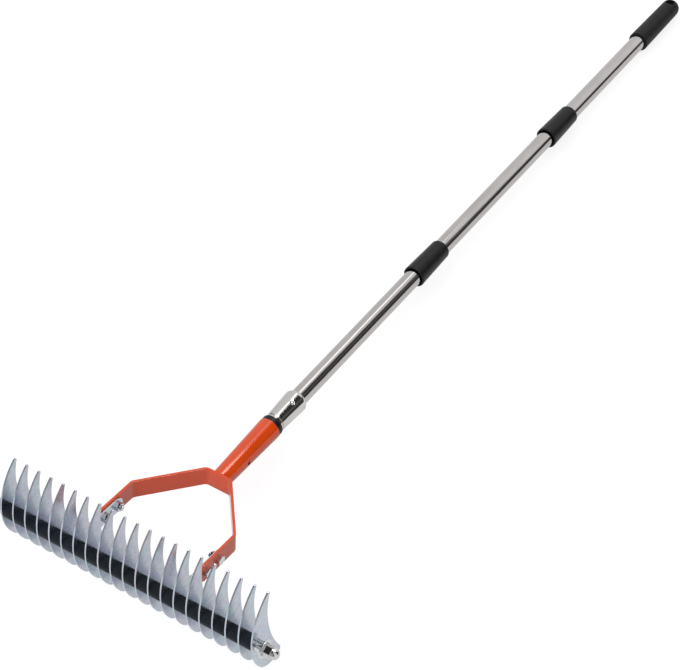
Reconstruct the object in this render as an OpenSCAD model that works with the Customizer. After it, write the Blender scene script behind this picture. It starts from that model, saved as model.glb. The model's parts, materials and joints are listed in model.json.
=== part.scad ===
// Thatch rake lying with its tips up: crescent blades on a spindle, a bent bar bow with a
// welded socket, and a handle of three equal tubes joined by two screw couplers.
// Built in the head's frame: spindle axis along X, handle towards +Y, tips towards +Z. Sizes in mm.

/* [Blade row] */
// Number of blades on the spindle
blade_count = 21; // [13:2:25]
// Distance from one blade to the next
blade_pitch = 16.9; // [15:0.1:19]
// Thickness of a blade
blade_t = 2; // [1.5:0.1:2.5]
// Blades from the middle one out to a bracket blade
bracket_step = 4; // [3:1:5]

/* [Blade outline] */
// Reach of a blade in front of the spindle axis
blade_front = 9.3; // [8.9:0.1:11]
// Radius of the round front edge
front_r = 75.4; // [73:0.2:78]
// Height of the front edge's middle above the spindle axis
front_mid = 0.4; // [-2:0.1:3]
// Radius of the hollow rear edge
rear_r = 150; // [135:1:165]
// Distance from the spindle axis back to the waist of the rear edge
rear_waist = 20; // [18:0.1:22]
// Height of the waist above the spindle axis
waist_z = 31.7; // [30:0.1:34]
// Radius of the rear edge above the waist, where the tip leans back
lean_r = 72; // [65:1:90]
// Radius of the round heel that the head rests on
heel_r = 27; // [25:0.5:29]
// Angle round the front edge at which the heel begins
heel_turn = 213.5; // [210:0.5:217]
// Rounding of the tip
tip_r = 2.3; // [1.5:0.1:3]
// Rounding of the heel's rear corner
heel_corner_r = 6; // [4:0.5:8]

/* [Spindle] */
// Diameter of the spindle
spindle_d = 8; // [7:0.5:10]
// Outside diameter of a spacer
spacer_d = 17.5; // [15:0.5:20]
// Outside diameter of the sleeves on the spindle's ends
sleeve_d = 14; // [12:0.5:16]
// Length of the sleeves on the spindle's ends
sleeve_len = 8.5; // [6:0.5:11]
// Diameter of the end washers
washer_d = 22; // [19:0.5:24]
// Thickness of the end washers
washer_t = 2; // [1.5:0.1:3]
// Width of the cap nuts across flats
cap_flats = 14; // [13:0.5:16]
// Height of a cap nut's hexagon
cap_hex_h = 9; // [8:0.5:11]
// Radius of a cap nut's dome
dome_r = 6.4; // [6:0.1:6.9]
// Height of the round neck under the dome
dome_neck = 1.6; // [0.6:0.1:2.4]
// Depth of the spindle's thread in a cap nut
cap_grip = 11; // [8:0.5:12]

/* [Bow] */
// Width of the flat bar
bar_w = 24; // [22.5:0.5:27]
// Thickness of the flat bar
bar_t = 3.2; // [2.6:0.2:4.6]
// Distance from the spindle axis to the middle of the bow's back
bow_y = 165.2; // [150:0.2:185]
// Length of the bow's back between its bends
back_w = 33; // [28:1:44]
// Distance from the back to the bends at the arms, along the bow
arm_bend = 67; // [52:1:70]
// Radius of the bends along the middle of the bar
bend_r = 8; // [5:0.5:12]
// Slope of the bow against the handle, rising towards the blades
bow_tilt = 5; // [3:0.5:7]
// Rounding of the arms' end corners
arm_corner_r = 6; // [3:0.5:10]

/* [Arm bolts] */
// Diameter of the bolts
bolt_d = 6; // [5:0.5:8]
// Distance from the spindle axis back to the nearer bolt
bolt_near = 45.8; // [44:0.2:49]
// Distance between the two bolts of an arm
bolt_gap = 22; // [18:0.5:26]
// Bar left past the nearer bolt
arm_past = 9; // [7:0.5:10]
// Width of bolt heads and nuts across flats
bolt_flats = 10; // [9:0.5:13]
// Height of a bolt head
head_h = 4.2; // [3.5:0.1:5.5]
// Height of a nut
nut_h = 5; // [4:0.1:6]
// Bolt left showing past its nut
bolt_tail = 2.4; // [1:0.1:3.5]
// Half width of the bracket blade's lug
lug_r = 9.5; // [8:0.1:11]
// Rounding under the lug
lug_under_r = 14; // [10:0.5:16]
// Rounding above the lug
lug_over_r = 7; // [4:0.5:9]

/* [Socket] */
// Diameter of the socket where it meets the bow
socket_base_d = 23.3; // [21:0.1:25]
// Diameter of the socket at its mouth
socket_mouth_d = 29; // [28:0.2:32]
// Length of the socket from the bow to the mouth
socket_len = 97.5; // [88:0.5:110]
// Wall of the socket
socket_wall = 2; // [1.5:0.1:2.5]
// Thread of the screw in the side of the socket
screw_d = 4.6; // [4:0.1:6]
// Distance of that screw from the bow
screw_place = 39.5; // [35:0.5:48]
// Depth of the bush inside the socket
bush_depth = 30; // [22:1:40]
// Thickness of the bush's collar outside the mouth
collar_t = 7.5; // [5:0.1:9]
// Step from the socket's edge in to the collar's edge
collar_step = 0.6; // [0.3:0.1:1]
// Thinnest wall of the bush
bush_wall = 1.4; // [1:0.1:2]

/* [Ferrule] */
// Length of the ferrule's flare above the collar
flare_len = 44; // [40:0.5:50]
// Height of the ferrule's neck
neck_h = 3.6; // [2.5:0.1:5]
// Step from the spigot out to the neck
neck_step = 2; // [1.2:0.1:2.2]
// Wall of the flare at its bottom
flare_low_wall = 1.7; // [1.2:0.1:2.2]
// Wall of the flare at its top
flare_top_wall = 3.8; // [3:0.1:4.5]
// Rounding of the shoulder above the flare
shoulder_r = 7; // [5:0.5:8]
// Depth of the spigot in the socket
spigot_len = 72; // [66:1:80]
// Height in the ferrule at which the tube stands
tube_seat = 5; // [4.5:0.1:8]
// Height of the rivet in the ferrule
rivet_place = 31; // [26:0.5:36]
// Turn of the rivet from straight up
rivet_turn = 25; // [0:5:60]
// Diameter of the rivet's head
rivet_head_d = 5; // [4:0.2:6]
// Diameter of the rivet's shank
rivet_d = 2.8; // [2:0.1:3.4]
// Rise of the rivet's head
rivet_rise = 1.2; // [0.8:0.1:1.8]

/* [Handle] */
// Height of the handle's axis above the spindle's axis
handle_z = -2.3; // [-5:0.1:1]
// Outside diameter of the tubes
tube_d = 22; // [20:0.5:25]
// Wall of the tubes
tube_wall = 1; // [0.8:0.1:1.5]
// Length of each tube
tube_len = 320; // [280:1:380]

/* [Screw joints] */
// Length of the threaded collar between two tubes
thread_len = 14; // [13:0.5:18]
// Step from the tube out to the thread
thread_step = 1.2; // [1:0.1:1.6]
// Depth of a plug in the tube below it
plug_grip = 26; // [20:1:34]
// Reach of a plug's nose into the tube above it
plug_nose = 26; // [20:1:34]
// Radial play of the nose in the tube above it
nose_play = 0.2; // [0.15:0.05:0.3]
// Rounding of the nose's end
nose_edge = 2; // [1:0.2:3]
// Height of the ring on the foot of a tube
ring_h = 6; // [4:0.5:8]
// Length of a coupler
coupler_len = 65; // [58:1:74]
// Skirt of a coupler below the thread
coupler_skirt = 20; // [16:0.5:26]
// Wall of a coupler at its rim
rim_wall = 2.3; // [1.8:0.1:2.8]
// Wall of a coupler round the tube at its other end
end_wall = 2; // [1.8:0.1:2.6]
// Rounding of a coupler's upper edge
coupler_edge = 3; // [2.2:0.1:4]
// Chamfer on the rims of the couplers and the grip
rim_edge = 0.6; // [0.3:0.1:0.9]

/* [Grip] */
// Length of tube inside the grip
grip_cover = 89; // [75:1:110]
// Grip between the end of the tube and the middle of its round end
grip_past = 10; // [9:0.5:16]
// Wall of the grip at its rim
grip_rim_wall = 3.2; // [2.6:0.1:4]
// Wall of the grip at its round end
grip_end_wall = 2; // [1.6:0.1:2.4]
// Diameter of the hanging hole
hang_d = 12; // [9:0.5:13]
// Distance of the hanging hole from the middle of the round end, towards the tube
hang_back = 1; // [0.5:0.1:1.5]

/* [Fits] */
// Radial clearance of holes over the spindle and the bolts
hole_clear = 0.15; // [0.1:0.01:0.25]
// Radial clearance of pieces fixed in each other
seat_clear = 0.04; // [0.02:0.01:0.06]
// Radial clearance of the turning couplers
run_clear = 0.08; // [0.05:0.01:0.1]

/* [Hidden] */
$fn = 72;
// How far a cut runs past the surface it opens
overrun = 1;
// How far the round of a lug's web cuts past its tangent points
web_lap = 0.06;
// Larger than any outline that it trims
reach = 4 * (front_r + rear_r);
zinc = [0.72, 0.74, 0.77];
steel = [0.82, 0.83, 0.84];
chrome = [0.88, 0.88, 0.88];
black = [0.09, 0.09, 0.1];
orange = [0.83, 0.27, 0.11];

spindle_r = spindle_d / 2;
spindle_hole_r = spindle_r + hole_clear;
spacer_len = blade_pitch - blade_t;
middle_blade = (blade_count + 1) / 2;
left_bracket = middle_blade - bracket_step;
right_bracket = middle_blade + bracket_step;
bracket_x = bracket_step * blade_pitch;
row_half = (blade_count - 1) / 2 * blade_pitch + blade_t / 2;
washer_x = row_half + sleeve_len;
cap_x = washer_x + washer_t;
spindle_half = cap_x + cap_grip;

// Circles of the blade's outline, as distance back from the spindle axis and height
front_c = [front_r - blade_front, front_mid];
rear_c = [rear_waist + rear_r, waist_z];
lean_c = [rear_waist + lean_r, waist_z];
heel_c = front_c + (front_r - heel_r) * [cos(heel_turn), sin(heel_turn)];
tip_c = meet(front_c, front_r - tip_r, lean_c, lean_r + tip_r, 1);
tip_apex = meet(front_c, front_r, lean_c, lean_r, 1);
corner_c = meet(heel_c, heel_r - heel_corner_r, rear_c, rear_r + heel_corner_r, -1);
corner_apex = meet(heel_c, heel_r, rear_c, rear_r, -1);

arm_x = bracket_x + blade_t / 2 + bar_t / 2;
arm_turn = atan2(arm_x - back_w / 2, arm_bend);
// Middles of the bends, seen from the middle of the bow's back
arm_c = [arm_x - bend_r, -arm_bend - bend_r * tan(arm_turn / 2)];
back_c = [back_w / 2 - bend_r * tan(45 - arm_turn / 2), -bend_r];
bolt_r = bolt_d / 2;
// Distances from the bow's back towards the spindle, along the bow
bolt_far_run = along_bow(bolt_near + bolt_gap);
bolt_near_run = along_bow(bolt_near);
arm_run = along_bow(bolt_near - arm_past);
lug_run = along_bow(spindle_r);
rear_from_bow = turned(rear_c - [bow_y, handle_z], bow_tilt);

socket_start = bar_t / 2;
mouth_run = socket_start + socket_len;
ferrule_y = bow_y + mouth_run + collar_t;
bush_start = mouth_run - bush_depth;
spigot_r = socket_in_r(bush_start) - seat_clear - bush_wall - seat_clear;
neck_r = spigot_r + neck_step;
collar_r = socket_mouth_d / 2 - collar_step;
tube_r = tube_d / 2;
tube_in_r = tube_r - tube_wall;
flare_low_r = tube_r + flare_low_wall;
flare_top_r = tube_r + flare_top_wall;
rivet_share = (rivet_place - neck_h) / (flare_len - neck_h);
rivet_seat_r = flare_low_r + (flare_top_r - flare_low_r) * rivet_share - rivet_rise / 2;
rivet_foot_r = tube_in_r - tube_wall;

lower_y = ferrule_y + tube_seat;
joint_step = tube_len + thread_len;
middle_y = lower_y + joint_step;
upper_y = middle_y + joint_step;
thread_r = tube_r + thread_step;
coupler_bore_r = thread_r + run_clear;
guide_r = tube_r + run_clear;
coupler_step = coupler_skirt + thread_len + ring_h;
grip_y = upper_y + tube_len - grip_cover;
dome_run = grip_cover + grip_past;
grip_end_r = tube_r + grip_end_wall;
grip_c = [grip_y + dome_run, handle_z];

// Lie of the rake on the floor: it rests on the heels and on the grip's round end
lay_gap = grip_c - heel_c;
lay_turn = atan2(lay_gap.y, lay_gap.x) - asin((grip_end_r - heel_r) / norm(lay_gap));
lay_lift = heel_r - turned(heel_c, -lay_turn).y;
lay_front = turned(front_c, -lay_turn).x - front_r;
lay_back = turned(grip_c, -lay_turn).x + grip_end_r;
lay_middle = (lay_front + lay_back) / 2;

// Point where two circles meet, on the left of the way from the first to the second or on the right
function meet(a, ra, b, rb, side) =
    let (gap = b - a, d = norm(gap), u = gap / d)
    let (run = (ra * ra - rb * rb + d * d) / (2 * d))
    a + run * u + side * sqrt(ra * ra - run * run) * [-u.y, u.x];
// A point turned about the origin
function turned(p, a) = [p.x * cos(a) - p.y * sin(a), p.x * sin(a) + p.y * cos(a)];
// A point moved away from another until the distance is r
function away(from, p, r) = from + r * (p - from) / norm(p - from);
// Middle of the round that touches the lug's edge and the rear edge, below the lug or above it
function web_c(r, side) =
    let (v = side * (lug_r + r), rise = v - rear_from_bow.y)
    [rear_from_bow.x - sqrt((rear_r - r) * (rear_r - r) - rise * rise), v];
function along_bow(y) = (bow_y - y) / cos(bow_tilt);
function blade_x(i) = (i - middle_blade) * blade_pitch;
function blade_name(i) = str("blade_", i);
function hex_r(flats) = flats / 2 / cos(30);
// Outside and inside radius of the socket at a distance from the middle of the bow's back
function socket_out_r(run) =
    (socket_base_d + (socket_mouth_d - socket_base_d) * (run - socket_start) / socket_len) / 2;
function socket_in_r(run) = socket_out_r(run) - socket_wall;

// Sets the head's frame down on the floor
module laid() {
    translate([0, -lay_middle, lay_lift]) rotate([-lay_turn, 0, 0]) children();
}

// Stands a shape's Z along the handle
module on_handle(y) {
    translate([0, y, handle_z]) rotate([-90, 0, 0]) children();
}

// Puts a shape in the bow's own plane, with the origin in the middle of its back
module on_bow() {
    translate([0, bow_y, handle_z]) rotate([-bow_tilt, 0, 0]) children();
}

// Points a shape's Z out of the +X or the -X side
module sideways(x) {
    translate([x, 0, 0]) rotate([0, sign(x) * 90, 0]) children();
}

// Points a shape's Z straight out of the handle, turned from the top towards +X
module outwards(z, turn) {
    translate([0, 0, z]) rotate([90, 0, turn]) children();
}

// Rounds the corner between two circles of an outline
module corner(centre, r, apex, first, first_r, second, second_r) {
    difference() {
        children();
        polygon([
            centre,
            away(first, centre, first_r),
            centre + 3 * (apex - centre),
            away(second, centre, second_r)
        ]);
    }
    translate(centre) circle(r);
}

// Crescent between the front and the rear edge, closed by the heel
module crescent() {
    difference() {
        union() {
            intersection() {
                translate(front_c) circle(front_r);
                translate(front_c) rotate(heel_turn) translate([-reach, -reach]) square([2 * reach, reach]);
            }
            translate(heel_c) circle(heel_r);
        }
        translate(lean_c) circle(lean_r);
        intersection() {
            translate(rear_c) circle(rear_r);
            translate([-reach, waist_z - reach]) square([2 * reach, reach]);
        }
    }
}

module blade_outline() {
    corner(tip_c, tip_r, tip_apex, front_c, front_r, lean_c, lean_r)
        corner(corner_c, heel_corner_r, corner_apex, heel_c, heel_r, rear_c, rear_r)
            crescent();
}

// Lug for an arm of the bow, with rounded webs below and above it
module lug_outline() {
    under = web_c(lug_under_r, -1);
    over = web_c(lug_over_r, 1);
    translate([bow_y, handle_z]) rotate(-bow_tilt) {
        translate([-bolt_far_run, 0]) circle(lug_r);
        difference() {
            polygon([
                [-bolt_far_run, -lug_r],
                [-bolt_far_run, lug_r],
                [over.x, lug_r],
                over,
                away(rear_from_bow, over, rear_r + overrun),
                [-lug_run, 0],
                away(rear_from_bow, under, rear_r + overrun),
                under,
                [under.x, -lug_r]
            ]);
            translate(under) circle(lug_under_r + web_lap);
            translate(over) circle(lug_over_r + web_lap);
        }
    }
}

module bolt_holes() {
    translate([bow_y, handle_z]) rotate(-bow_tilt)
        for (run = [bolt_far_run, bolt_near_run])
            translate([-run, 0]) circle(bolt_r + hole_clear);
}

module blade(i) {
    bracket = i == left_bracket || i == right_bracket;
    color(zinc) laid() translate([blade_x(i), 0, 0]) rotate([90, 0, 90])
        linear_extrude(blade_t, center = true) difference() {
            union() {
                blade_outline();
                if (bracket) lug_outline();
            }
            circle(spindle_hole_r);
            if (bracket) bolt_holes();
        }
}

// Spacers from one blade to another
module spacers(from, to) {
    color(black) laid() for (i = [from : to - 1])
        translate([blade_x(i) + blade_t / 2, 0, 0]) rotate([0, 90, 0])
            linear_extrude(spacer_len) difference() {
                circle(spacer_d / 2);
                circle(spindle_hole_r);
            }
}

module spindle() {
    color(zinc) laid() rotate([0, 90, 0]) cylinder(h = 2 * spindle_half, r = spindle_r, center = true);
}

module end_sleeves() {
    color(zinc) laid() for (side = [-1, 1]) sideways(side * row_half)
        linear_extrude(sleeve_len) difference() {
            circle(sleeve_d / 2);
            circle(spindle_hole_r);
        }
}

module end_washers() {
    color(zinc) laid() for (side = [-1, 1]) sideways(side * washer_x)
        linear_extrude(washer_t) difference() {
            circle(washer_d / 2);
            circle(spindle_hole_r);
        }
}

module cap_nut() {
    difference() {
        union() {
            linear_extrude(cap_hex_h) circle(hex_r(cap_flats), $fn = 6);
            cylinder(h = cap_hex_h + dome_neck, r = dome_r);
            translate([0, 0, cap_hex_h + dome_neck]) sphere(dome_r);
        }
        translate([0, 0, -overrun]) cylinder(h = cap_grip + seat_clear + overrun, r = spindle_r + seat_clear);
        translate([0, 0, -reach]) linear_extrude(reach) circle(cap_flats);
    }
}

module cap_nuts() {
    color(chrome) laid() for (side = [-1, 1]) sideways(side * cap_x) cap_nut();
}

// Area inside a line that follows the middle of the bar, h outside it
module bow_fill(h, past) {
    r = bend_r + h;
    slant_way = [cos(arm_turn), sin(arm_turn)];
    right = [
        [arm_x + h, -arm_run - past],
        arm_c + [r, 0],
        arm_c + r * slant_way,
        back_c + r * slant_way,
        back_c + [0, r]
    ];
    polygon(concat(right, [for (i = [len(right) - 1 : -1 : 0]) [-right[i].x, right[i].y]]));
    for (side = [-1, 1], c = [arm_c, back_c]) translate([side * c.x, c.y]) circle(r);
}

// Side view that rounds the arms' end corners
module arm_side() {
    straight = bar_w / 2 - arm_corner_r;
    translate([-arm_run + arm_corner_r, -bar_w / 2]) square([arm_run, bar_w]);
    translate([-arm_run, -straight]) square([arm_run, 2 * straight]);
    for (side = [-1, 1]) translate([-arm_run + arm_corner_r, side * straight]) circle(arm_corner_r);
}

module bow() {
    color(orange) laid() on_bow() difference() {
        intersection() {
            linear_extrude(bar_w, center = true) difference() {
                bow_fill(bar_t / 2, 0);
                bow_fill(-bar_t / 2, overrun);
            }
            rotate([90, 0, 90]) linear_extrude(2 * (arm_x + bar_t), center = true) arm_side();
        }
        for (run = [bolt_far_run, bolt_near_run]) translate([0, -run, 0]) rotate([0, 90, 0])
            cylinder(h = 2 * (arm_x + bar_t), r = bolt_r + hole_clear, center = true);
    }
}

// Places a fastener at every bolt of the two arms, from the face of the arm outwards
module at_bolts(x) {
    laid() on_bow() for (side = [-1, 1], run = [bolt_far_run, bolt_near_run])
        translate([0, -run, 0]) sideways(side * x) children();
}

module arm_bolts() {
    grip = bar_t + blade_t + nut_h + bolt_tail;
    color(zinc) at_bolts(arm_x + bar_t / 2) {
        linear_extrude(head_h) circle(hex_r(bolt_flats), $fn = 6);
        translate([0, 0, -grip]) cylinder(h = grip + head_h / 2, r = bolt_r);
    }
}

module arm_nuts() {
    color(zinc) at_bolts(bracket_x - blade_t / 2 - nut_h) linear_extrude(nut_h) difference() {
        circle(hex_r(bolt_flats), $fn = 6);
        circle(bolt_r + seat_clear);
    }
}

module socket() {
    color(orange) laid() difference() {
        on_handle(bow_y) rotate_extrude() polygon([
            [socket_in_r(0), 0],
            [socket_out_r(0), 0],
            [socket_out_r(mouth_run), mouth_run],
            [socket_in_r(mouth_run), mouth_run]
        ]);
        on_bow() translate([-reach, socket_start - reach, -reach]) cube([2 * reach, reach, 2 * reach]);
        socket_screw_hole();
    }
}

module socket_screw_hole() {
    on_handle(bow_y + socket_start + screw_place) outwards(0, 90)
        cylinder(h = socket_mouth_d, r = screw_d / 2 + seat_clear);
}

// Headless screw that holds the spigot, sunk level with the socket's wall
module socket_screw() {
    outer = socket_out_r(socket_start + screw_place) - socket_wall / 4;
    color(black) laid() on_handle(bow_y + socket_start + screw_place) outwards(0, 90) difference() {
        translate([0, 0, spigot_r]) cylinder(h = outer - spigot_r, r = screw_d / 2);
        translate([0, 0, outer - socket_wall / 2]) linear_extrude(socket_wall) circle(screw_d / 4, $fn = 6);
    }
}

module socket_bush() {
    bore = spigot_r + seat_clear;
    color(black) laid() on_handle(bow_y) rotate_extrude() polygon([
        [bore, bush_start],
        [socket_in_r(bush_start) - seat_clear, bush_start],
        [socket_in_r(mouth_run) - seat_clear, mouth_run],
        [collar_r, mouth_run],
        [collar_r, mouth_run + collar_t - rim_edge],
        [collar_r - rim_edge, mouth_run + collar_t],
        [bore, mouth_run + collar_t]
    ]);
}

module ferrule_profile() {
    translate([0, -spigot_len]) square([spigot_r, spigot_len + neck_h]);
    square([neck_r, neck_h]);
    difference() {
        union() {
            polygon([[0, neck_h], [flare_low_r, neck_h], [flare_top_r, flare_len], [0, flare_len]]);
            translate([0, flare_len]) square([flare_top_r - shoulder_r, shoulder_r]);
            translate([0, flare_len]) intersection() {
                translate([flare_top_r - shoulder_r, 0]) circle(shoulder_r);
                square([flare_top_r, shoulder_r]);
            }
        }
        translate([0, tube_seat]) square([tube_r + seat_clear, flare_len + shoulder_r]);
    }
}

module rivet_hole() {
    outwards(rivet_place, rivet_turn) cylinder(h = 2 * tube_r, r = rivet_d / 2 + seat_clear);
}

module ferrule() {
    color(chrome) laid() on_handle(ferrule_y) difference() {
        rotate_extrude() ferrule_profile();
        rivet_hole();
        outwards(rivet_place, rivet_turn) translate([0, 0, rivet_seat_r])
            cylinder(h = flare_top_r, r = rivet_head_d / 2 + hole_clear);
    }
}

module ferrule_rivet() {
    cap_r = (rivet_head_d * rivet_head_d / 4 + rivet_rise * rivet_rise) / (2 * rivet_rise);
    color(steel) laid() on_handle(ferrule_y) outwards(rivet_place, rivet_turn) {
        translate([0, 0, rivet_foot_r]) cylinder(h = rivet_seat_r + rivet_rise / 2 - rivet_foot_r, r = rivet_d / 2);
        intersection() {
            translate([0, 0, rivet_seat_r]) cylinder(h = rivet_rise, r = rivet_head_d / 2);
            translate([0, 0, rivet_seat_r + rivet_rise - cap_r]) sphere(cap_r);
        }
    }
}

module tube_profile() {
    translate([tube_in_r, 0]) square([tube_wall, tube_len]);
}

module lower_tube() {
    color(steel) laid() difference() {
        on_handle(lower_y) rotate_extrude() tube_profile();
        on_handle(ferrule_y) rivet_hole();
    }
}

module middle_tube() {
    color(steel) laid() on_handle(middle_y) rotate_extrude() tube_profile();
}

module upper_tube() {
    color(steel) laid() on_handle(upper_y) rotate_extrude() tube_profile();
}

// Plug fixed in the end of a tube, with the thread for the coupler and a nose for the next tube
module joint_plug(y) {
    nose_r = tube_in_r - nose_play;
    color(black) laid() on_handle(y + tube_len) rotate_extrude() polygon([
        [0, -plug_grip],
        [tube_in_r - seat_clear, -plug_grip],
        [tube_in_r - seat_clear, 0],
        [thread_r, 0],
        [thread_r, thread_len],
        [nose_r, thread_len],
        [nose_r, thread_len + plug_nose - nose_edge],
        [nose_r - nose_edge, thread_len + plug_nose],
        [0, thread_len + plug_nose]
    ]);
}

// Ring fixed on the foot of a tube, which the coupler pulls down on the plug
module joint_ring(y) {
    color(black) laid() on_handle(y) linear_extrude(ring_h) difference() {
        circle(thread_r);
        circle(tube_r + seat_clear);
    }
}

module coupler_profile() {
    edge_r = tube_r + end_wall;
    straight = coupler_len - coupler_edge;
    difference() {
        union() {
            polygon([
                [0, 0],
                [coupler_bore_r + rim_wall - rim_edge, 0],
                [coupler_bore_r + rim_wall, rim_edge],
                [edge_r, straight],
                [0, straight]
            ]);
            translate([0, straight]) square([edge_r - coupler_edge, coupler_edge]);
            translate([0, straight]) intersection() {
                translate([edge_r - coupler_edge, 0]) circle(coupler_edge);
                square([edge_r, coupler_edge]);
            }
        }
        translate([0, -overrun]) square([coupler_bore_r, coupler_step + overrun]);
        square([guide_r, coupler_len + overrun]);
    }
}

module coupler(y) {
    color(black) laid() on_handle(y + tube_len - coupler_skirt) rotate_extrude() coupler_profile();
}

module grip_profile() {
    difference() {
        union() {
            polygon([
                [0, 0],
                [tube_r + grip_rim_wall - rim_edge, 0],
                [tube_r + grip_rim_wall, rim_edge],
                [grip_end_r, dome_run],
                [0, dome_run]
            ]);
            translate([0, dome_run]) intersection() {
                circle(grip_end_r);
                square([grip_end_r, grip_end_r]);
            }
        }
        translate([0, -overrun]) square([tube_r + seat_clear, grip_cover + overrun]);
    }
}

module grip() {
    color(black) laid() on_handle(grip_y) difference() {
        rotate_extrude() grip_profile();
        translate([0, 0, dome_run - hang_back]) rotate([90, 0, 0])
            cylinder(h = 2 * tube_d, r = hang_d / 2, center = true);
    }
}

for (i = [1 : blade_count]) blade(i);
spacers(1, left_bracket);  // spacers_left
spacers(left_bracket, right_bracket);  // spacers_centre
spacers(right_bracket, blade_count);  // spacers_right
spindle();
end_sleeves();
end_washers();
cap_nuts();
bow();
arm_bolts();
arm_nuts();
socket();
socket_screw();
socket_bush();
ferrule();
ferrule_rivet();
lower_tube();
joint_plug(lower_y);  // joint_plug_1
coupler(lower_y);  // coupler_1
joint_ring(middle_y);  // joint_ring_1
middle_tube();
joint_plug(middle_y);  // joint_plug_2
coupler(middle_y);  // coupler_2
joint_ring(upper_y);  // joint_ring_2
upper_tube();
grip();
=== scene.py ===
import bpy
import json
import math
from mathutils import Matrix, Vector


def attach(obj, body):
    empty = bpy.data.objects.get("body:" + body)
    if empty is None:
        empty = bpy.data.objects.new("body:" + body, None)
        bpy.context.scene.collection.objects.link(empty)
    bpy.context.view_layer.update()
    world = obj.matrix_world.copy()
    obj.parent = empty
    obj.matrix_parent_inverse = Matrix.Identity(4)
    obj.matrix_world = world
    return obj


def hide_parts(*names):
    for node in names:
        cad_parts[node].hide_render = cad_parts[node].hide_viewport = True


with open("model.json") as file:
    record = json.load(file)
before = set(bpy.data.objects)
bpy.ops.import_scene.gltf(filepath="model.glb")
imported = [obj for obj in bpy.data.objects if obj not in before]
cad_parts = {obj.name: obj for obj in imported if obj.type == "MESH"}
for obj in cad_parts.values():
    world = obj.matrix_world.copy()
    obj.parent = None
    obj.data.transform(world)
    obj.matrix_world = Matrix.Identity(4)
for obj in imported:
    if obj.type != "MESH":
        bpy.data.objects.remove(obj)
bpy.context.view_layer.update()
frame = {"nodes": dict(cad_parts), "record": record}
nodes = frame["nodes"]
slotOf = {row["node"]: row["material_slot"] for row in frame["record"]["subparts"]}
bodyOf = {name: body for body, held in frame["record"]["behaviour"]["bodies"].items() for name in held}
bpy.context.scene.view_settings.view_transform = "Standard"
print("frame loaded:", len(nodes), "nodes")


# small helpers for the shader trees

def newMaterial(name):
    mat = bpy.data.materials.new(name)
    mat.use_nodes = True
    tree = mat.node_tree
    return mat, tree, tree.nodes["Principled BSDF"]


def objectPlace(tree, stretch=(1, 1, 1)):
    coords = tree.nodes.new("ShaderNodeTexCoord")
    mapping = tree.nodes.new("ShaderNodeMapping")
    mapping.inputs["Scale"].default_value = stretch
    tree.links.new(coords.outputs["Object"], mapping.inputs["Vector"])
    return mapping.outputs["Vector"]


def noise(tree, place, scale, detail=3.0, roughness=0.55):
    made = tree.nodes.new("ShaderNodeTexNoise")
    made.inputs["Scale"].default_value = scale
    made.inputs["Detail"].default_value = detail
    made.inputs["Roughness"].default_value = roughness
    tree.links.new(place, made.inputs["Vector"])
    return made.outputs["Fac"]


def ramp(tree, value, stops):
    made = tree.nodes.new("ShaderNodeValToRGB")
    band = made.color_ramp
    while len(band.elements) < len(stops):
        band.elements.new(0.5)
    for element, (at, shade) in zip(band.elements, stops):
        element.position = at
        element.color = (*shade, 1.0)
    tree.links.new(value, made.inputs["Fac"])
    return made.outputs["Color"]


def grey(tree, value, stops):
    return ramp(tree, value, [(at, (shade, shade, shade)) for at, shade in stops])


def spread(tree, value, low, high, start=0.25, end=0.75):
    made = tree.nodes.new("ShaderNodeMapRange")
    made.inputs["From Min"].default_value = start
    made.inputs["From Max"].default_value = end
    made.inputs["To Min"].default_value = low
    made.inputs["To Max"].default_value = high
    tree.links.new(value, made.inputs["Value"])
    return made.outputs["Result"]


def tinted(tree, shade, value, stops):
    made = tree.nodes.new("ShaderNodeMix")
    made.data_type = "RGBA"
    made.blend_type = "MULTIPLY"
    made.inputs["Factor"].default_value = 1.0
    tree.links.new(shade, made.inputs["A"])
    tree.links.new(ramp(tree, value, stops), made.inputs["B"])
    return made.outputs["Result"]


def bump(tree, height, strength, distance):
    made = tree.nodes.new("ShaderNodeBump")
    made.inputs["Strength"].default_value = strength
    made.inputs["Distance"].default_value = distance
    tree.links.new(height, made.inputs["Height"])
    return made.outputs["Normal"]


def blend(tree, share, first, second):
    made = tree.nodes.new("ShaderNodeMix")
    tree.links.new(share, made.inputs["Factor"])
    for socket, value in ((made.inputs["A"], first), (made.inputs["B"], second)):
        if isinstance(value, float):
            socket.default_value = value
        else:
            tree.links.new(value, socket)
    return made.outputs["Result"]


def sums(tree, kind, first, second):
    made = tree.nodes.new("ShaderNodeMath")
    made.operation = kind
    tree.links.new(first, made.inputs[0])
    tree.links.new(second, made.inputs[1])
    return made.outputs["Value"]


def towards(tree, direction, aim):
    made = tree.nodes.new("ShaderNodeVectorMath")
    made.operation = "DOT_PRODUCT"
    made.inputs[1].default_value = aim
    tree.links.new(direction, made.inputs[0])
    return made.outputs["Value"]


# zinc plated blade steel: pale, with faint tints of the passivation; bump heights here and below are in metres

bladeFinish = {
    "tints": [(0.30, (0.545, 0.65, 0.695)), (0.44, (0.60, 0.67, 0.725)), (0.54, (0.66, 0.65, 0.725)),
              (0.63, (0.59, 0.63, 0.735)), (0.74, (0.59, 0.69, 0.725))],
    "tintScale": 70.0,
    "tintDetail": 2.0,
    "tintStretch": (2.4, 1.0, 1.0),
    "spots": [(0.38, (0.90, 0.92, 0.95)), (0.62, (1.03, 1.02, 1.02))],
    "spotScale": 150.0,
    "spotDetail": 2.0,
    "gloss": (0.20, 0.30),
    "glossScale": 160.0,
    "rollScale": 900.0,
    "rollDetail": 2.0,
    "rollStretch": (1, 0.12, 1),
    "rollStrength": 0.01,
    "rollHeight": 0.0003,
}


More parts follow.
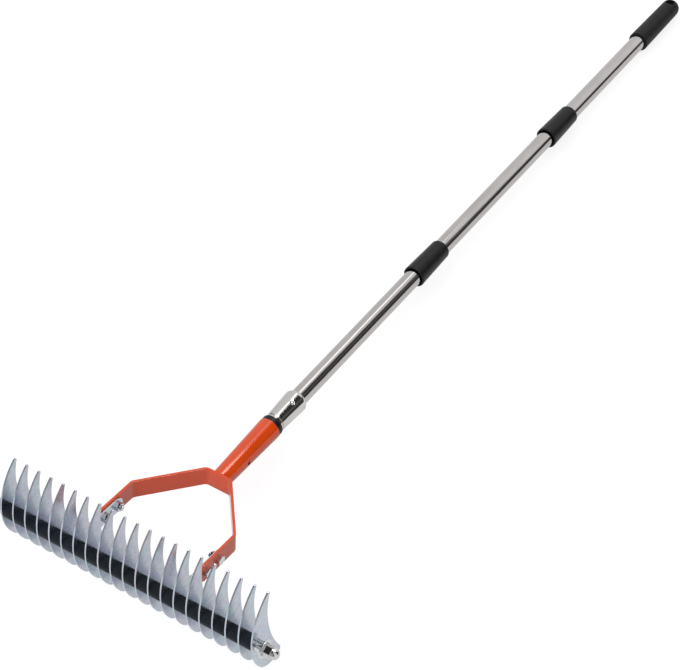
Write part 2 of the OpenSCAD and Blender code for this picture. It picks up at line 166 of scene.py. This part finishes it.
def makeBladeSteel():
    look = bladeFinish
    mat, tree, shader = newMaterial("zincBlade")
    tints = noise(tree, objectPlace(tree, look["tintStretch"]), look["tintScale"], look["tintDetail"])
    spots = noise(tree, objectPlace(tree), look["spotScale"], look["spotDetail"])
    shade = tinted(tree, ramp(tree, tints, look["tints"]), spots, look["spots"])
    tree.links.new(shade, shader.inputs["Base Color"])
    gloss = noise(tree, objectPlace(tree), look["glossScale"])
    tree.links.new(spread(tree, gloss, *look["gloss"]), shader.inputs["Roughness"])
    roll = noise(tree, objectPlace(tree, look["rollStretch"]), look["rollScale"], look["rollDetail"])
    tree.links.new(bump(tree, roll, look["rollStrength"], look["rollHeight"]), shader.inputs["Normal"])
    shader.inputs["Metallic"].default_value = 1.0
    return mat


# plated washers, bolts, nuts and rivet, and the dark screw

fastenerFinish = {
    "shadeScale": 220.0,
    "glossScale": 600.0,
    "pitScale": 1500.0,
    "pitDetail": 2.0,
    "pitStrength": 0.08,
    "pitHeight": 0.0002,
}
fasteners = {
    "zinc_fastener": {"name": "zincFastener", "gloss": (0.08, 0.14),
                      "shades": [(0.3, (0.67, 0.69, 0.71)), (0.7, (0.77, 0.79, 0.81))]},
    "bright_nut": {"name": "brightNut", "gloss": (0.04, 0.08),
                   "shades": [(0.3, (0.62, 0.62, 0.63)), (0.7, (0.72, 0.72, 0.72))]},
    "rivet_steel": {"name": "rivetSteel", "gloss": (0.14, 0.22),
                    "shades": [(0.3, (0.72, 0.72, 0.72)), (0.7, (0.82, 0.82, 0.82))]},
    "dark_screw": {"name": "darkScrew", "gloss": (0.4, 0.55),
                   "shades": [(0.3, (0.02, 0.018, 0.016)), (0.7, (0.035, 0.03, 0.028))]},
}


def makeFastenerSteel(look):
    mat, tree, shader = newMaterial(look["name"])
    place = objectPlace(tree)
    shades = noise(tree, place, fastenerFinish["shadeScale"])
    tree.links.new(ramp(tree, shades, look["shades"]), shader.inputs["Base Color"])
    gloss = noise(tree, place, fastenerFinish["glossScale"])
    tree.links.new(spread(tree, gloss, *look["gloss"]), shader.inputs["Roughness"])
    pits = noise(tree, place, fastenerFinish["pitScale"], fastenerFinish["pitDetail"])
    pitted = bump(tree, pits, fastenerFinish["pitStrength"], fastenerFinish["pitHeight"])
    tree.links.new(pitted, shader.inputs["Normal"])
    shader.inputs["Metallic"].default_value = 1.0
    return mat


# orange powder coat on the bow and socket, with its orange peel

paintFinish = {
    "shades": [(0.30, (0.72, 0.058, 0.001)), (0.55, (0.76, 0.065, 0.001)), (0.75, (0.79, 0.073, 0.002))],
    "shadeScale": 30.0,
    "shadeDetail": 2.0,
    "gloss": (0.07, 0.11),
    "glossScale": 240.0,
    "peelScale": 300.0,
    "peelDetail": 1.0,
    "peelStrength": 0.02,
    "peelHeight": 0.0003,
    "shine": 0.70,
}


def makePaint():
    look = paintFinish
    mat, tree, shader = newMaterial("orangePaint")
    place = objectPlace(tree)
    shades = noise(tree, place, look["shadeScale"], look["shadeDetail"])
    tree.links.new(ramp(tree, shades, look["shades"]), shader.inputs["Base Color"])
    gloss = noise(tree, place, look["glossScale"])
    tree.links.new(spread(tree, gloss, *look["gloss"]), shader.inputs["Roughness"])
    peel = noise(tree, place, look["peelScale"], look["peelDetail"])
    tree.links.new(bump(tree, peel, look["peelStrength"], look["peelHeight"]), shader.inputs["Normal"])
    shader.inputs["Specular IOR Level"].default_value = look["shine"]
    return mat


# moulded black plastic: couplers, bush, joint pieces, spacers and grip

plasticFinish = {
    "shadeScale": 90.0,
    "shadeDetail": 4.0,
    "glossScale": 300.0,
    "grainDetail": 2.0,
    "grainHeight": 0.0004,
}
plastics = {
    "black_spacer": {"name": "blackSpacer", "gloss": (0.36, 0.48), "shine": 0.14,
                     "shades": [(0.3, (0.008, 0.011, 0.015)), (0.7, (0.015, 0.020, 0.026))],
                     "grainScale": 900.0, "grainStrength": 0.10},
    "black_plastic": {"name": "blackPlastic", "gloss": (0.32, 0.42), "shine": 0.28,
                      "shades": [(0.3, (0.005, 0.005, 0.006)), (0.7, (0.010, 0.010, 0.011))],
                      "grainScale": 1100.0, "grainStrength": 0.10},
    "grip_plastic": {"name": "gripPlastic", "gloss": (0.46, 0.60), "shine": 0.28,
                     "shades": [(0.3, (0.006, 0.006, 0.007)), (0.7, (0.014, 0.014, 0.015))],
                     "grainScale": 700.0, "grainStrength": 0.35},
}


def makePlastic(look):
    mat, tree, shader = newMaterial(look["name"])
    place = objectPlace(tree)
    shades = noise(tree, place, plasticFinish["shadeScale"], plasticFinish["shadeDetail"])
    tree.links.new(ramp(tree, shades, look["shades"]), shader.inputs["Base Color"])
    gloss = noise(tree, place, plasticFinish["glossScale"])
    tree.links.new(spread(tree, gloss, *look["gloss"]), shader.inputs["Roughness"])
    grain = noise(tree, place, look["grainScale"], plasticFinish["grainDetail"])
    tree.links.new(bump(tree, grain, look["grainStrength"], plasticFinish["grainHeight"]), shader.inputs["Normal"])
    shader.inputs["Specular IOR Level"].default_value = look["shine"]
    return mat


# polished steel tubes and the chromed ferrule, with fine lines along the handle

polishFinish = {
    "lineScale": 1400.0,
    "lineDetail": 2.0,
    "lineStretch": (1, 0.02, 1),
    "lineHeight": 0.0002,
    "cloudScale": 120.0,
    "cloudStretch": (1, 0.25, 1),
}
polished = {
    "polished_tube": {"name": "polishedTube", "gloss": (0.09, 0.14), "lineStrength": 0.06,
                      "shades": [(0.35, (0.55, 0.525, 0.515)), (0.65, (0.60, 0.575, 0.565))]},
    "chrome": {"name": "chromePlate", "gloss": (0.05, 0.09), "lineStrength": 0.03,
               "shades": [(0.35, (0.66, 0.65, 0.63)), (0.65, (0.71, 0.70, 0.68))]},
}


def makePolished(look):
    mat, tree, shader = newMaterial(look["name"])
    linePlace = objectPlace(tree, polishFinish["lineStretch"])
    lines = noise(tree, linePlace, polishFinish["lineScale"], polishFinish["lineDetail"])
    clouds = noise(tree, objectPlace(tree, polishFinish["cloudStretch"]), polishFinish["cloudScale"])
    tree.links.new(ramp(tree, clouds, look["shades"]), shader.inputs["Base Color"])
    tree.links.new(spread(tree, lines, *look["gloss"]), shader.inputs["Roughness"])
    tree.links.new(bump(tree, lines, look["lineStrength"], polishFinish["lineHeight"]), shader.inputs["Normal"])
    shader.inputs["Metallic"].default_value = 1.0
    return mat


finishes = {"zinc_blade": makeBladeSteel(), "orange_paint": makePaint()}
for looks, make in ((fasteners, makeFastenerSteel), (plastics, makePlastic), (polished, makePolished)):
    for slotName, look in looks.items():
        finishes[slotName] = make(look)
for nodeName, nodeObject in nodes.items():
    nodeObject.data.materials.clear()
    nodeObject.data.materials.append(finishes[slotOf[nodeName]])
print("finishes on the CAD nodes:", len(finishes))


# the pressed, moulded and turned parts have their sharp edges broken, by widths in millimetres

edgeBreaks = {
    "blade": 0.3, "bow": 0.6, "socket": 0.4, "socket_bush": 0.5, "socket_screw": 0.2, "ferrule": 0.4,
    "end_sleeves": 0.4, "end_washers": 0.4, "cap_nuts": 0.4, "arm_bolts": 0.35, "arm_nuts": 0.35,
    "coupler_1": 0.6, "coupler_2": 0.6, "grip": 0.6,
}
edgeWork = {
    "sharpAngle": math.radians(28),
    "steps": 2,
    "mergeGap": 2e-6,                   # metres
    "flatAngle": math.radians(0.3),     # triangles flatter than this become one face
    "flatWeight": 100,
}


def mergedCopy(nodeName, pieceName):
    bpy.ops.object.select_all(action="DESELECT")
    piece = bpy.data.objects.new(pieceName, nodes[nodeName].data.copy())
    bpy.context.scene.collection.objects.link(piece)
    piece.select_set(True)
    bpy.context.view_layer.objects.active = piece
    bpy.ops.mesh.customdata_custom_splitnormals_clear()
    bpy.ops.object.mode_set(mode="EDIT")
    bpy.ops.mesh.select_all(action="SELECT")
    bpy.ops.mesh.remove_doubles(threshold=edgeWork["mergeGap"])
    bpy.ops.mesh.dissolve_limited(angle_limit=edgeWork["flatAngle"])
    bpy.ops.mesh.select_all(action="DESELECT")
    bpy.ops.object.mode_set(mode="OBJECT")
    return piece


def breakEdges(piece, width):
    bevel = piece.modifiers.new("edgeBreak", "BEVEL")
    bevel.width = width / 1000
    bevel.segments = edgeWork["steps"]
    bevel.limit_method = "ANGLE"
    bevel.angle_limit = edgeWork["sharpAngle"]
    bevel.use_clamp_overlap = False
    bevel.miter_outer = "MITER_ARC"
    bpy.ops.object.modifier_apply(modifier=bevel.name)
    bpy.ops.object.shade_smooth_by_angle(angle=edgeWork["sharpAngle"])
    flats = piece.modifiers.new("flats", "WEIGHTED_NORMAL")    # flat faces look flat up to the broken edge
    flats.weight = edgeWork["flatWeight"]
    flats.keep_sharp = True
    bpy.ops.object.modifier_apply(modifier=flats.name)


def standFor(piece, nodeName):
    piece.data.materials.clear()
    piece.data.materials.append(finishes[slotOf[nodeName]])
    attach(piece, bodyOf[nodeName])
    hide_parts(nodeName)


for nodeName in sorted(nodes):
    kind = "blade" if nodeName.startswith("blade_") else nodeName
    if kind in edgeBreaks:
        dressed = mergedCopy(nodeName, nodeName + "_dressed")
        breakEdges(dressed, edgeBreaks[kind])
        standFor(dressed, nodeName)
print("edges broken")


# bead of weld round the foot of the socket, on the back of the bow; lengths in millimetres

weld = {
    "centreY": -472.252,
    "centreZ": 46.711,
    "lean": 6.7435,       # degrees
    "ringRadius": 11.5,
    "beadRadius": 0.9,
    "steps": 84,
    "round": 10,
    "rippleEvery": 3,
    "ripple": 0.22,
    "smoothing": 1,
}


def makeWeld():
    bpy.ops.object.select_all(action="DESELECT")
    bpy.ops.mesh.primitive_torus_add(
        location=(0, weld["centreY"] / 1000, weld["centreZ"] / 1000),
        rotation=(math.radians(-90 - weld["lean"]), 0, 0),
        major_segments=weld["steps"], minor_segments=weld["round"],
        major_radius=weld["ringRadius"] / 1000, minor_radius=weld["beadRadius"] / 1000)
    bead = bpy.context.object
    bead.name = "socket_weld"
    bpy.ops.object.transform_apply(location=True, rotation=True, scale=True)
    for vertex in bead.data.vertices:
        ring = vertex.index // weld["round"]
        vertex.select = ring % weld["rippleEvery"] == 0    # these rings swell, like laid ripples
    for part in (*bead.data.edges, *bead.data.polygons):
        part.select = False
    bpy.ops.object.mode_set(mode="EDIT")
    bpy.ops.mesh.select_mode(type="VERT")
    bpy.ops.transform.shrink_fatten(value=weld["ripple"] / 1000)
    bpy.ops.mesh.select_all(action="SELECT")
    bpy.ops.mesh.normals_make_consistent(inside=False)
    bpy.ops.mesh.select_all(action="DESELECT")
    bpy.ops.object.mode_set(mode="OBJECT")
    smooth = bead.modifiers.new("smooth", "SUBSURF")
    smooth.levels = smooth.render_levels = weld["smoothing"]
    bpy.ops.object.modifier_apply(modifier=smooth.name)
    bpy.ops.object.shade_smooth()
    bead.data.materials.append(finishes["orange_paint"])
    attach(bead, "head")


makeWeld()
print("weld laid")


# floor, world and lamps

studio = {
    "floorSize": 9.0,
    "floorShade": (0.30, 0.30, 0.30),
    "floorRoughness": 0.9,
    "floorGlow": 0.80,
    "floorMirrored": 0.54,
    "worldForShade": 0.67,
    "roomAim": (0.66, 0.75, 0.0),
    "roomShades": [(0.0, 0.38), (0.26, 0.36), (0.31, 0.06), (0.38, 0.06),
                   (0.42, 0.72), (0.66, 0.80), (0.86, 0.90)],
    "flagFrom": [(0.54, 0.11), (0.66, 0.34), (0.74, 0.66)],    # near side, in quarter turns from upright
    "flagSoft": 0.06,
    "flagBack": (0.10, 0.25),
    "flagShades": [(0.0, 0.05), (0.30, 0.05), (0.43, 0.14), (0.56, 0.05), (0.80, 0.04)],
    "gapAim": (-0.37, -0.28, 0.89),
    "gapEdge": (0.945, 0.975),
    "gapShade": 0.03,
    "keyPlace": (-0.12, 0.22, 1.75),
    "keyAim": (0.0, -0.45, 0.04),
    "keySize": (1.25, 0.55),
    "keyPower": 12.0,
    "topPlace": (-0.24, 0.95, 1.75),
    "topAim": (0.0, -0.30, 0.04),
    "topSize": (0.40, 0.95),
    "topPower": 1.3,
    "fillPlace": (-0.3, -2.1, 1.7),
    "fillAim": (0, -0.2, 0),
    "fillSize": (2.2, 2.2),
    "fillPower": 28.0,
}


def makeFloor():
    bpy.ops.object.select_all(action="DESELECT")
    bpy.ops.mesh.primitive_plane_add(size=studio["floorSize"], location=(0, 0, 0))
    floor = bpy.context.object
    floor.name = "floor"
    mat, tree, shader = newMaterial("paleFloor")
    shader.inputs["Base Color"].default_value = (*studio["floorShade"], 1)
    shader.inputs["Roughness"].default_value = studio["floorRoughness"]
    shader.inputs["Specular IOR Level"].default_value = 0.0
    glow = tree.nodes.new("ShaderNodeEmission")
    path = tree.nodes.new("ShaderNodeLightPath")
    seen = spread(tree, path.outputs["Is Camera Ray"], 0.0, studio["floorGlow"], 0.0, 1.0)
    mirrored = spread(tree, path.outputs["Is Glossy Ray"], 0.0, studio["floorMirrored"], 0.0, 1.0)
    tree.links.new(sums(tree, "ADD", seen, mirrored), glow.inputs["Strength"])
    both = tree.nodes.new("ShaderNodeAddShader")
    tree.links.new(shader.outputs["BSDF"], both.inputs[0])
    tree.links.new(glow.outputs["Emission"], both.inputs[1])
    tree.links.new(both.outputs["Shader"], tree.nodes["Material Output"].inputs["Surface"])
    floor.data.materials.append(mat)


# white all round for the camera; what polished metal mirrors is pale behind the rake and dimmer on the
# camera's side, with a dark flag on the right for the tubes and a dark gap high on the left for the nuts
def makeWorld():
    world = bpy.data.worlds.new("studioWorld")
    bpy.context.scene.world = world
    world.use_nodes = True
    tree = world.node_tree
    back = tree.nodes["Background"]
    back.inputs["Color"].default_value = (1, 1, 1, 1)
    path = tree.nodes.new("ShaderNodeLightPath")
    direction = tree.nodes.new("ShaderNodeTexCoord").outputs["Generated"]
    split = tree.nodes.new("ShaderNodeSeparateXYZ")
    tree.links.new(direction, split.inputs["Vector"])
    along = spread(tree, towards(tree, direction, studio["roomAim"]), 0.0, 1.0, -1.0, 1.0)
    room = grey(tree, along, studio["roomShades"])
    upright = sums(tree, "ARCTAN2", split.outputs["X"], split.outputs["Z"])
    turned = spread(tree, upright, 0.0, 1.0, 0.0, math.pi / 2)
    past = sums(tree, "SUBTRACT", turned, grey(tree, split.outputs["Y"], studio["flagFrom"]))
    side = spread(tree, past, 0.0, 1.0, -studio["flagSoft"], studio["flagSoft"])
    behind = spread(tree, split.outputs["Y"], 0.0, 1.0, *studio["flagBack"])
    flag = sums(tree, "MULTIPLY", room, grey(tree, split.outputs["Z"], studio["flagShades"]))
    flagged = blend(tree, sums(tree, "MULTIPLY", side, behind), room, flag)
    gap = spread(tree, towards(tree, direction, studio["gapAim"]), 0.0, 1.0, *studio["gapEdge"])
    mirrored = blend(tree, gap, flagged, studio["gapShade"])
    lit = blend(tree, path.outputs["Is Camera Ray"], studio["worldForShade"], 1.0)
    tree.links.new(blend(tree, path.outputs["Is Glossy Ray"], lit, mirrored), back.inputs["Strength"])


def makeLamp(name):
    lampData = bpy.data.lights.new(name + "Softbox", "AREA")
    lampData.shape = "RECTANGLE"
    lampData.size, lampData.size_y = studio[name + "Size"]
    lampData.energy = studio[name + "Power"]
    lamp = bpy.data.objects.new(name + "Softbox", lampData)
    bpy.context.scene.collection.objects.link(lamp)
    place, aim = Vector(studio[name + "Place"]), Vector(studio[name + "Aim"])
    lamp.location = place
    lamp.rotation_euler = (aim - place).to_track_quat("-Z", "Y").to_euler()
    lamp.visible_glossy = name != "fill"    # the fill is soft light only, with no highlight of its own
    lamp.visible_diffuse = name != "key"    # the key only makes highlights, so upward faces don't glare


makeFloor()
makeWorld()
for lampName in ("key", "top", "fill"):
    makeLamp(lampName)
print("studio set")


# camera at the photograph's angle

view = {
    "place": (0.97217, -1.63865, 1.78769),
    "turn": (44.9477, 0.9647, 33.5878),    # degrees
    "lens": 108.42,
    "sensor": 36.0,
}
cameraData = bpy.data.cameras.new("photoCamera")
cameraData.sensor_fit = "HORIZONTAL"
cameraData.sensor_width = view["sensor"]
cameraData.lens = view["lens"]
camera = bpy.data.objects.new("photoCamera", cameraData)
bpy.context.scene.collection.objects.link(camera)
camera.location = view["place"]
camera.rotation_euler = [math.radians(angle) for angle in view["turn"]]
bpy.context.scene.camera = camera
print("camera set")

bpy.context.view_layer.update()
